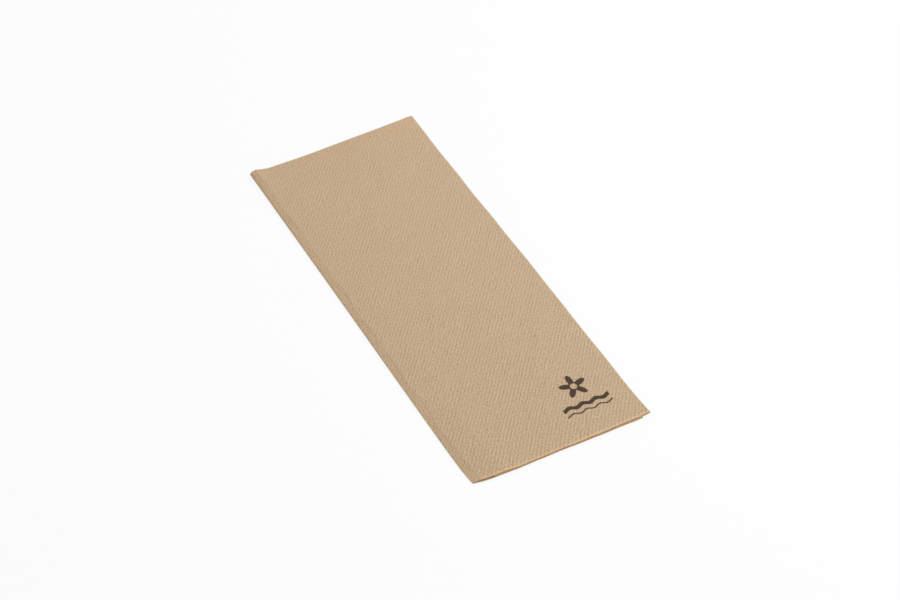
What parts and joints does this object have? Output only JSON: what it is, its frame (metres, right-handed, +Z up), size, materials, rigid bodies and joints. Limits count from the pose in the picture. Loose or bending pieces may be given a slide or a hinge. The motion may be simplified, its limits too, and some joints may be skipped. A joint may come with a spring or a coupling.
{
  "type": "paper napkin",
  "caption": "Folded paper napkin: one embossed tissue sheet folded flat into a long narrow rectangle, lying on a table.",
  "frame": {"origin": "on the table, under the middle of the folded napkin", "axes": "+Z up out of the table; +Y along the napkin, from the end that shows the cut edges to the end closed by a fold; +X across it, from the closed spine to the bend that stands out past the cut edges"},
  "size_m": [0.0818, 0.2, 0.0033],
  "materials": {
    "tissue": "matte"
  },
  "bodies": {
    "root": {"napkin": "tissue"}
  },
  "joints": []
}
